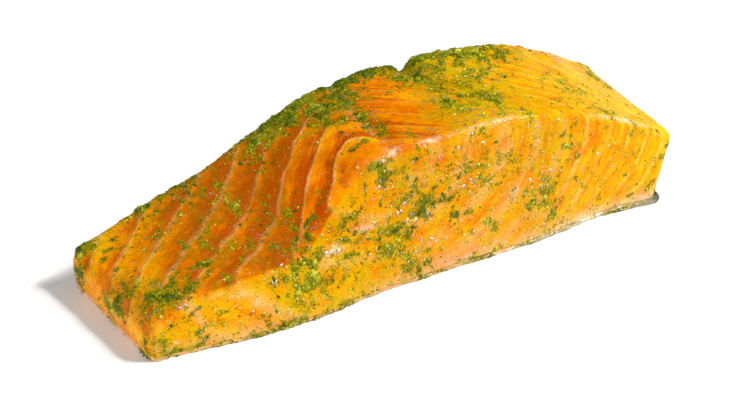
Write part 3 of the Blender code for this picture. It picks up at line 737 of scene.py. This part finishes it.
# %% Flesh: surface
relief_height = add_node("Math", hairs, 0.7, fine, **TIMES_PLUS)
relief = add_node("Bump", Strength=0.4, Distance=0.18 * MM, Height=relief_height)
film = add_node("Bump", Strength=0.45, Distance=0.35 * MM, Height=crumb)
muscle = add_node("BsdfPrincipled", **{
    "Base Color": paint, "Roughness": 0.32, "IOR": 1.42, "Normal": relief,
    "Specular IOR Level": 0.02, "Specular Tint": linear("#FF9A20"),
    "Subsurface Weight": 0.3, "Subsurface Scale": 1.2 * MM, "Subsurface Radius": (1.0, 0.42, 0.12),
    "Coat Weight": add_node("MapRange", zone["gold_and_shade"], 0.5, 0.9, 0.12, 0.05, **SMOOTH),
    "Coat Roughness": 0.14, "Coat IOR": 1.4, "Coat Normal": film,
})
add_node("OutputMaterial", muscle)
flesh.data.materials.append(salmon)
print("flesh nodes:", len(tree.nodes))

# %% [markdown]
# The skin shows only as a thin edge under the flesh and as a small lip at the back of the fish, but it runs
# under the whole portion. It is built as its own sheet from the same outline: a ring for each step of its
# rounded edge, and a face above and below.

# %% Skin sheet
SKIN_LIP, SKIN_BACK_LIP, SKIN_LIP_POWER = 0.02 * MM, 1.9 * MM, 12
SKIN_WAVE, SKIN_WAVE_PITCH = 0.4 * MM, 3.5 * MM
SILVER_LIP_POWER, PALE_FROM, PALE_OVER = 24, 88 * MM, 22 * MM
SKIN_RINGS = ((-0.5, 0.0), (-0.25, 0.2), (-0.1, 0.5), (-0.05, 0.9), (-0.08, 1.12), (-0.3, 1.2))


def skin_sheet():
    lines_x, lines_y = grid_lines(LENGTH), grid_lines(WIDTH)
    rim_x = np.concatenate([lines_x[:-1], 0 * lines_y[:-1] + LENGTH, lines_x[:0:-1], 0 * lines_y[:0:-1]])
    rim_y = np.concatenate([0 * lines_x[:-1], lines_y[:-1], 0 * lines_x[:0:-1] + WIDTH, lines_y[:0:-1]])
    spots, _ = flesh_surface(rim_x, rim_y, top_height(rim_x, rim_y) - FLESH_BASE)
    spots[:, 2] = 0
    outward = spots.copy()
    outward[:, 0] -= np.clip(spots[:, 0], WIDTH / 2, LENGTH - WIDTH / 2)
    outward[:, 1] -= WIDTH / 2
    outward /= np.linalg.norm(outward, axis=1, keepdims=True)
    lip = SKIN_LIP + SKIN_BACK_LIP * (rim_x / LENGTH) ** SKIN_LIP_POWER
    lip += SKIN_WAVE * noise_at(spots, SKIN_WAVE_PITCH)
    count = len(spots)
    rings = [spots + outward * (lip + inward * MM)[:, None] + (0, 0, z * MM) for inward, z in SKIN_RINGS]
    faces = []
    for level in range(len(rings) - 1):
        for i in range(count):
            after = (i + 1) % count
            low, high = level * count, (level + 1) * count
            faces.append((low + i, low + after, high + after, high + i))
    faces.append(list(range(count))[::-1])
    faces.append(list(range((len(rings) - 1) * count, len(rings) * count)))
    cut_edge = np.clip(1 - (rim_x / LENGTH) ** SILVER_LIP_POWER, 0, 1)
    pale_edge = fade_in(rim_x, PALE_FROM, PALE_OVER)
    return np.vstack(rings), faces, np.tile(cut_edge, len(rings)), np.tile(pale_edge, len(rings))


skin_points, skin_faces, cut_edge, pale_edge = skin_sheet()
skin = new_piece("skin_sheet", skin_points, skin_faces, "salmon_skin")
store(skin, "cut_edge", cut_edge)
store(skin, "pale_edge", pale_edge)
print("skin faces:", len(skin.data.polygons))

# %% [markdown]
# Fish skin is silver because tiny flat crystals in it mirror the light, and dark where pigment lies over
# them. Scales overlap like tiles about 3 mm apart, which a cell pattern shows well enough at this size. Where
# the knife went through, the edge of the skin is pale: that is the white layer of fat that holds it to the
# flesh. At the belly the marinade has stained it orange and olive, and towards the back it is washed pale.

# %% Salmon skin, scaled and moist
SCALE_PITCH = 3 * MM
fish_skin = empty_material("salmon_skin_scaled")
tree = fish_skin.node_tree
where = add_node("TexCoord").outputs["Object"]
cut_zone, pale_zone = (
    add_node("Attribute", attribute_name=name).outputs["Fac"] for name in ("cut_edge", "pale_edge")
)
scales = add_node("TexVoronoi", where, Scale=1 / SCALE_PITCH, Randomness=0.4)
cloudy, blotches = (
    add_node("TexNoise", where, Scale=1 / (size * MM), Detail=detail) for size, detail in ((6, 4), (3, 3))
)
scale_colour = add_node("ValToRGB", add_node("Math", scales, 0.3, cloudy, **TIMES_PLUS))
set_stops(scale_colour, (0.5, linear("#30382A")), (0.66, linear("#6C7468")), (0.85, linear("#D5D8D2")))
sharp, soft = (add_node("MapRange", blotches, 0.4, high, **SMOOTH) for high in (0.52, 0.56))
stained = add_node("Mix", sharp, linear("#B8A038"), linear("#F8B070"), **COLOURS)
washed = add_node("Mix", soft, linear("#B0A066"), linear("#FAE6CC"), **COLOURS)
rim_fat = add_node("Mix", pale_zone, stained, washed, **COLOURS)
facing_up = add_node("SeparateXYZ", add_node("NewGeometry").outputs["Normal"]).outputs["Z"]
sideways = add_node("MapRange", facing_up, -0.95, -0.8, **SMOOTH)
skin_paint = add_node("Mix", all_of(cut_zone, sideways), scale_colour, rim_fat, **COLOURS)
scaled = add_node("BsdfPrincipled", **{
    "Base Color": skin_paint, "Roughness": 0.35, "Coat Weight": 0.4, "Coat Roughness": 0.1,
    "Normal": add_node("Bump", Strength=0.5, Distance=0.2 * MM, Height=scales),
})
add_node("OutputMaterial", scaled)
skin.data.materials.append(fish_skin)
print("scales every", SCALE_PITCH / MM, "mm")

# %% [markdown]
# Chopped dill is thousands of scraps, each a real little solid here. Spots are drawn at random over the flesh
# mesh, larger faces more often, and kept with a chance that follows the cover. Then one template scrap is
# copied to every spot, turned to lie on the surface, spun, scaled and dented at random. Numpy does the
# copying, so thousands of scraps take a moment, and each kind becomes one joined mesh.

# %% Scattering helpers
draw = np.random.default_rng(41)
corners = np.array(flesh_faces[:-1])
diagonal_a = flesh_points[corners[:, 2]] - flesh_points[corners[:, 0]]
diagonal_b = flesh_points[corners[:, 3]] - flesh_points[corners[:, 1]]
face_normals = np.cross(diagonal_a, diagonal_b)
face_areas = np.linalg.norm(face_normals, axis=1)
face_normals /= face_areas[:, None]
face_chance = face_areas / face_areas.sum()
face_cover = dill_cover[corners].mean(axis=1)
face_bare = bare[corners].mean(axis=1)
GROW = 1.0


def spots_on_flesh(count, chance):
    """Random spots and their normals. Chance gives each face's share from its cover and bareness."""
    kept = chance(face_cover, face_bare) * face_chance
    picks = draw.choice(len(corners), int(count * GROW), p=kept / kept.sum())
    u, v = draw.uniform(0, 1, (2, len(picks), 1))
    a, b, c, d = (flesh_points[corners[picks, i]] for i in range(4))
    spots = (a * (1 - u) + b * u) * (1 - v) + (d * (1 - u) + c * u) * v
    return spots, face_normals[picks]


def strew(template, faces, spots, normals, sizes, dent, crumple, tilt):
    """Copies of the template, one on each spot, as points and faces."""
    count = len(spots)
    normals = normals + tilt * draw.normal(0, 1, normals.shape)
    normals /= np.linalg.norm(normals, axis=1, keepdims=True)
    helper = np.where(np.abs(normals[:, 2:]) < 0.9, (0.0, 0.0, 1.0), (1.0, 0.0, 0.0))
    side = np.cross(helper, normals)
    side /= np.linalg.norm(side, axis=1, keepdims=True)
    other = np.cross(normals, side)
    spin = draw.uniform(0, 2 * np.pi, (count, 1))
    axes = np.stack([
        np.cos(spin) * side + np.sin(spin) * other,
        np.cos(spin) * other - np.sin(spin) * side,
        normals,
    ], 1)
    local = template[None] * (1 + dent * draw.uniform(-1, 1, (count, len(template), 3)))
    local[:, :, 2] += crumple * draw.uniform(-1, 1, local.shape[:2])
    local = local * sizes[:, None, :]
    points = spots[:, None] + np.einsum("nki,nij->nkj", local, axes)
    shifts = len(template) * np.arange(count)[:, None, None]
    return points.reshape(-1, 3), (faces[None] + shifts).reshape(-1, faces.shape[1])


def icosphere(subdivisions):
    mesh = bmesh.new()
    bmesh.ops.create_icosphere(mesh, subdivisions=subdivisions, radius=1)
    points = np.array([vert.co[:] for vert in mesh.verts])
    faces = np.array([[vert.index for vert in face.verts] for face in mesh.faces])
    mesh.free()
    return points, faces


print("faces to draw spots from:", len(corners))

# %% [markdown]
# Six kinds of scrap make the cover look like the real thing. Mash is the wet, matted dill under the thick
# patches, as flattened lumps. Leaf bits are torn leaves, one or two millimetres wide, and crumpled. Grains
# are the crumbs between them. Needles are the thin dill fronds. Flecks and dust are what the chopping leaves,
# and lie everywhere in the oil; they are so small that a solid of eight or four faces will do.

# %% Dill pieces
def leaf_template(around=6):
    """A torn leaf: a middle point above and below, and two wavy rings of corners."""
    turn = np.arange(around) * 2 * np.pi / around
    reach = 1 + 0.25 * np.cos(3 * turn)
    inner = np.stack([0.5 * np.cos(turn), 0.5 * np.sin(turn), 0 * turn + 0.2], 1)
    outer = np.stack([reach * np.cos(turn), reach * np.sin(turn), 0.3 * np.cos(2 * turn)], 1)
    above, below = 2 * around, 2 * around + 1
    faces = []
    for i in range(around):
        j = (i + 1) % around
        faces += [(i, j, above), (around + i, around + j, j)]
        faces += [(around + i, j, i), (around + j, around + i, below)]
    return np.vstack([inner, outer, [(0, 0, 0.25), (0, 0, -0.15)]]), np.array(faces)


def needle_template():
    """A frond tip: a bent three-sided rod that narrows to both ends."""
    rings = []
    for along in (-1.0, -0.5, 0.0, 0.5, 1.0):
        thick = 0.13 * math.sqrt(1.05 - along * along)
        for turn in (0.5, 2.594, 4.689):
            rings.append((along, 0.16 * along * along + thick * math.cos(turn), thick * math.sin(turn)))
    faces = [(0, 2, 1), (12, 13, 14)]
    for ring in range(4):
        for i in range(3):
            a, b = 3 * ring + i, 3 * ring + (i + 1) % 3
            faces += [(a, b, b + 3), (a, b + 3, a + 3)]
    return np.array(rings), np.array(faces)


def sizes_of(count, low, high, shape):
    """Random sizes, mostly near the low end, times the shape's own proportions."""
    size = low + (high - low) * draw.uniform(0, 1, (count, 1)) ** 2
    return size * np.array(shape) * MM


TETRAHEDRON = (
    np.array([(1, 0, -0.3), (-0.5, 0.87, -0.3), (-0.5, -0.87, -0.3), (0, 0, 1)], float),
    np.array([(0, 2, 1), (0, 1, 3), (1, 2, 3), (2, 0, 3)]),
)
OCTAHEDRON = (
    np.array([(1, 0, 0), (-1, 0, 0), (0, 1, 0), (0, -1, 0), (0, 0, 1), (0, 0, -1)], float),
    np.array([(0, 2, 4), (2, 1, 4), (1, 3, 4), (3, 0, 4), (2, 0, 5), (1, 2, 5), (3, 1, 5), (0, 3, 5)]),
)
# name: template, count, chance from cover and bareness, smallest and largest radius in mm, proportions,
# dent, crumple, tilt, mean tone
DILL_KINDS = {
    "dill_mash": (icosphere(2), 620, lambda cover, bare: np.clip(cover - 0.5, 0, 1) ** 1.5,
                  0.35, 1.0, (1.2, 0.85, 0.26), 0.35, 0.16, 0.1, 0.3),
    "dill_leaf_bits": (leaf_template(), 4200, lambda cover, bare: 0.006 * (1 - bare) + cover**2,
                       0.2, 0.7, (1.2, 0.7, 0.6), 0.35, 0.25, 0.2, 0.42),
    "dill_grains": (icosphere(1), 8000, lambda cover, bare: 0.02 * (1 - bare) + cover**1.8,
                    0.12, 0.34, (1.2, 0.85, 0.6), 0.35, 0.1, 0.25, 0.48),
    "dill_needles": (needle_template(), 600, lambda cover, bare: 0.01 * (1 - bare) + cover,
                     0.35, 0.9, (1, 1.2, 1.2), 0.1, 0.0, 0.06, 0.36),
    "dill_flecks": (OCTAHEDRON, 23000, lambda cover, bare: 0.2 * (1 - 0.8 * bare) + cover,
                    0.07, 0.21, (1.2, 0.9, 0.6), 0.3, 0.1, 0.25, 0.45),
    "dill_dust": (TETRAHEDRON, 40000, lambda cover, bare: 0.4 * (1 - 0.7 * bare) + cover,
                  0.06, 0.17, (1.1, 0.9, 0.6), 0.3, 0.1, 0.2, 0.5),
}
TONE_SPREAD, TONE_DRIFT, PALER_ON_LOIN, LOIN_STARTS = 0.24, 0.35, 0.2, 85 * MM
FRESH_BAND, FRESH_MIDDLE, FRESH_LENGTH = 9 * MM, 75 * MM, 45 * MM
dill_pieces = []


def dill_piece(name, points, faces, tone, fresh, corners_each):
    """One kind of scrap as one mesh. Tone and freshness are given for each scrap."""
    points[:, 2] = np.maximum(points[:, 2], 0)
    piece = new_piece(name, points, faces.tolist(), "salmon_flesh")
    store(piece, "tone", np.repeat(np.clip(tone, 0, 1), corners_each))
    store(piece, "fresh", np.repeat(fresh, corners_each))
    dill_pieces.append(piece)
    print(name, "triangles:", len(faces))


for name, (template, count, chance, low, high, shape, dent, crumple, tilt, mean) in DILL_KINDS.items():
    spots, normals = spots_on_flesh(count, chance)
    sizes = sizes_of(len(spots), low, high, shape)
    raised = spots + 0.15 * normals * sizes[:, 2:]
    points, faces = strew(*template, raised, normals, sizes, dent, crumple, tilt)
    paler = PALER_ON_LOIN * fade_in(spots[:, 0], LOIN_STARTS, 10 * MM)
    tone = draw.normal(mean, TONE_SPREAD, len(spots)) + paler + TONE_DRIFT * noise_at(spots, 9 * MM, 3.1)
    on_ridge = bump(spots[:, 1], WIDTH, FRESH_BAND) * bump(spots[:, 0], FRESH_MIDDLE, FRESH_LENGTH)
    fresh = on_ridge * draw.uniform(0, 1.4, len(spots))
    dill_piece(name, points, faces, tone, fresh, len(template[0]))

# %% [markdown]
# Some dill has run down with the oil and lies in crumbs against the cut edge of the skin. Its spots are drawn
# on the rim of the skin sheet instead of the flesh, longer steps more often, and in clumps.

# %% Dill at the foot
FOOT_SCRAPS = {
    # name: template, count, smallest and largest radius in mm
    "dill_foot_bits": (leaf_template(), 900, 0.2, 0.75),
    "dill_foot_crumbs": (OCTAHEDRON, 2600, 0.08, 0.26),
}
BETWEEN_FOOT_CLUMPS, CLEAN_BACK_LIP = 0.04, 0.96 * LENGTH
ring_points = skin_points.reshape(len(SKIN_RINGS), -1, 3)
rim_low, rim_high = ring_points[1], ring_points[-2]
rim_normals = np.roll(rim_low, -1, axis=0) - np.roll(rim_low, 1, axis=0)
rim_normals = np.stack([rim_normals[:, 1], -rim_normals[:, 0], 0 * rim_normals[:, 0]], 1)
rim_steps = np.linalg.norm(rim_normals, axis=1)
rim_normals /= rim_steps[:, None]
rim_chance = rim_steps * (BETWEEN_FOOT_CLUMPS + clumps_at(rim_low, 7 * MM, -0.05, 0.3, 4))
rim_chance *= rim_low[:, 0] < CLEAN_BACK_LIP
for name, (template, count, low, high) in FOOT_SCRAPS.items():
    picks = draw.choice(len(rim_low), int(count * GROW), p=rim_chance / rim_chance.sum())
    share = draw.uniform(0, 1, (len(picks), 1))
    spots = rim_low[picks] * (1 - share) + rim_high[picks] * share
    sizes = sizes_of(len(spots), low, high, (1.2, 0.8, 0.6))
    points, faces = strew(*template, spots, rim_normals[picks], sizes, 0.3, 0.2, 0.3)
    tone = draw.normal(0.5, 0.25, len(spots))
    dill_piece(name, points, faces, tone, np.zeros(len(spots)), len(template[0]))

# %% [markdown]
# Dill steeped in oil turns from fresh green to olive, and no two scraps have quite the same tone. Each scrap
# carries its own tone as an attribute, and a ramp turns it into a green. On the rear ridge, where the dill
# lies thickest, part of it is still fresh and dark. Wet leaves shine, but the shreds are too small and too
# crumpled for a clear mirror, so the roughness is in the middle, with a thin coat for the oil.

# %% Dill leaf, chopped and oiled
FRESH_SHARE = 0.65
dill = empty_material("dill_leaf_chopped")
tree = dill.node_tree
tone, freshness = (add_node("Attribute", attribute_name=name).outputs["Fac"] for name in ("tone", "fresh"))
mottle = add_node("TexNoise", add_node("TexCoord").outputs["Object"], Scale=1 / (0.7 * MM), Detail=2)
mottled = add_node("Math", tone, add_node("Math", mottle, 0.5, -0.25, **TIMES_PLUS), operation="ADD")
leaf_colour = add_node("ValToRGB", mottled)
set_stops(
    leaf_colour, (0.05, linear("#424F00")), (0.3, linear("#6A7002")), (0.55, linear("#928E06")),
    (0.78, linear("#B8B018")), (1.0, linear("#E2DC5C")),
)
greened = add_node("Mix", all_of(freshness, FRESH_SHARE), leaf_colour, linear("#4C6404"), **COLOURS)
leaf = add_node("BsdfPrincipled", **{
    "Base Color": greened, "Roughness": 0.45, "IOR": 1.36, "Specular Tint": linear("#E0D040"),
    "Coat Weight": 0.25, "Coat Roughness": 0.2, "Coat IOR": 1.4,
})
add_node("OutputMaterial", leaf)
for piece in dill_pieces:
    piece.data.materials.append(dill)
print("dill pieces:", len(dill_pieces))

# %% [markdown]
# Oil that doesn't lie flat gathers in beads, and in wider pools where the flesh has a hollow or an edge. Each
# catches one point of light. A bead is a low dome, turned up a little, because a drop sags. The oil is clear,
# so all that the eye gets from it is its reflection: the material lets the light straight through and only
# mirrors a small share of it. A plant oil mirrors almost 4 per cent head on, and more at a slant. The shares
# here are drawn stronger, 6 and 12 per cent, because at this size each glint fills only part of a pixel.

# %% Oil beads
BEAD_COUNT, BEAD_SAG = 2200, 0.8
POOLS = (
    # side, across and up in mm, spread in mm, how many
    (TOP, 70, 2.2, 2.0, 9), (TOP, 80, 1.2, 4.5, 14), (TOP, 92, 1.2, 5.5, 18), (TOP, 104, 1.2, 7.0, 14),
    (TOP, 138, 1.0, 9.0, 10),
    (FRONT, 52, 15, 2.2, 7), (FRONT, 61, 19, 2.4, 7), (FRONT, 9, 13, 1.8, 5), (FRONT, 35, 15, 2.5, 5),
    (FRONT, 66, 30, 3.0, 9), (FRONT, 72, 20, 4.0, 10), (FRONT, 78, 9, 4.0, 7), (FRONT, 88, 26, 6.0, 12),
    (FRONT, 100, 14, 8.0, 10), (FRONT, 112, 18, 5.0, 10), (TOP, 72, 16, 2.5, 5), (TOP, 37, 12, 1.5, 4),
    (FRONT, 96, 30, 7.0, 10), (FRONT, 122, 24, 6.0, 6), (FRONT, 24, 8, 8.0, 5), (TOP, 8, 5, 3.0, 5),
)


def dome_template(rings=3, around=8):
    """A low dome: rings of corners from its top down, and one point below that closes it."""
    points = [(0, 0, 1)]
    for ring in range(1, rings + 1):
        lean = math.pi / 2 * ring / rings
        for i in range(around):
            turn = 2 * math.pi * i / around
            points.append((math.sin(lean) * math.cos(turn), math.sin(lean) * math.sin(turn), math.cos(lean)))
    faces = [(0, 1 + i, 1 + (i + 1) % around) for i in range(around)]
    for ring in range(rings - 1):
        for i in range(around):
            a, b = 1 + ring * around + i, 1 + ring * around + (i + 1) % around
            faces += [(a, a + around, b + around), (a, b + around, b)]
    last = 1 + (rings - 1) * around
    points.append((0, 0, -0.2))
    faces += [(last + (i + 1) % around, last + i, len(points) - 1) for i in range(around)]
    return np.array(points), np.array(faces)


def bead_spots():
    return spots_on_flesh(BEAD_COUNT, lambda cover, bare: 0.3 * (1 - 0.7 * bare) + cover)


def pool_spots():
    """Spots drawn around the place of each pool, on faces that look that way."""
    centres = flesh_points[corners].mean(axis=1)
    spots, normals = [], []
    for side, across, up, spread, count in POOLS:
        a, b = ACROSS_UP[side]
        near = bump(centres[:, a], across * MM, spread * MM) * bump(centres[:, b], up * MM, spread * MM)
        near *= face_chance * (face_normals @ np.array(side) > 0.3)
        picks = draw.choice(len(corners), count, p=near / near.sum())
        spots.append(centres[picks])
        normals.append(face_normals[picks])
    return np.vstack(spots), np.vstack(normals)


OIL_KINDS = {
    # name: where, smallest and largest radius in mm, proportions, mirrored share, roughness
    "oil_beads": (bead_spots, 0.2, 0.7, (1.3, 0.9, 0.55), 0.06, 0.2),
    "oil_pools": (pool_spots, 0.35, 0.95, (1.4, 0.8, 0.35), 0.12, 0.26),
}
for name, (find_spots, low, high, shape, mirrored, roughness) in OIL_KINDS.items():
    spots, normals = find_spots()
    sizes = sizes_of(len(spots), low, high, shape)
    points, faces = strew(*dome_template(), spots, normals + (0, 0, BEAD_SAG), sizes, 0.06, 0.0, 0.1)
    piece = new_piece(name, points, faces.tolist(), "salmon_flesh")
    oil = empty_material(name + "_clear")
    tree = oil.node_tree
    clear, mirror = add_node("BsdfTransparent"), add_node("BsdfGlossy", Roughness=roughness)
    add_node("OutputMaterial", add_node("MixShader", mirrored, clear, mirror))
    piece.data.materials.append(oil)
    print(name, "triangles:", len(faces))

# %% [markdown]
# The setting is plain: a pale floor, one large soft light from the right, a small bare one beside it that
# gives the oil its sharp glints, and a wide weak one from the left that fills the shadows. The large light
# stands where its mirror image falls on the upper front edge of the portion, because that is where the wet
# edge shines in the photograph, and the shadow falls to the left. The sky is white overhead and almost dark
# at the horizon: at a slant the oil mirrors the horizon, and a bright one would lay a pale veil over the
# flesh.

# %% Floor and light
LIGHTS = {
    # name: direction towards it, distance, diameter in metres, watts
    "key_light": ((0.56, -0.36, 0.75), 1.2, 0.38, 12.0),
    "bare_bulb": ((0.50, -0.40, 0.77), 1.2, 0.1, 3.5),
    "fill_light": ((-0.88, -0.25, 0.40), 1.5, 1.2, 13.0),
}
HORIZON_STRENGTH, ZENITH_STRENGTH, SKY_BRIGHTENS_FROM = 0.03, 0.56, 0.6
floor_mesh = bpy.data.meshes.new("floor")
floor_mesh.from_pydata([(-3, -3, 0), (3, -3, 0), (3, 3, 0), (-3, 3, 0)], [], [(0, 1, 2, 3)])
floor = bpy.data.objects.new("floor", floor_mesh)
bpy.context.scene.collection.objects.link(floor)
floor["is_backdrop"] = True
card = empty_material("white_card_matt")
tree = card.node_tree
add_node("OutputMaterial", add_node("BsdfPrincipled", **{
    "Base Color": linear("#FAFAFA"), "Roughness": 0.7, "Specular IOR Level": 0.2,
}))
floor_mesh.materials.append(card)
for name, (direction, distance, diameter, watts) in LIGHTS.items():
    light = bpy.data.objects.new(name, bpy.data.lights.new(name, "AREA"))
    bpy.context.scene.collection.objects.link(light)
    direction = Vector(direction).normalized()
    light.location = direction * distance
    light.rotation_euler = direction.to_track_quat("Z", "Y").to_euler()
    light.data.shape = "DISK"
    light.data.size = diameter
    light.data.energy = watts
sky = bpy.data.worlds.new("sky")
sky.use_nodes = True
tree = sky.node_tree
tree.nodes.clear()
height = add_node("SeparateXYZ", add_node("TexCoord").outputs["Generated"]).outputs["Z"]
glow = add_node("MapRange", height, SKY_BRIGHTENS_FROM, 1, HORIZON_STRENGTH, ZENITH_STRENGTH, **SMOOTH)
add_node("OutputWorld", add_node("Background", (1, 1, 1, 1), glow))
bpy.context.scene.world = sky
bpy.context.scene.view_settings.view_transform = "Standard"
print("lights:", ", ".join(LIGHTS))

# %% [markdown]
# Last, the size of the dressed portion is measured, kept next to that of the solids, and printed.

# %% Finish
low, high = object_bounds()
sizes = {"solids": [*cad_low, *cad_high], "dressed": [*low, *high]}
print("dressed, mm:", [round(v / MM, 1) for v in high - low])
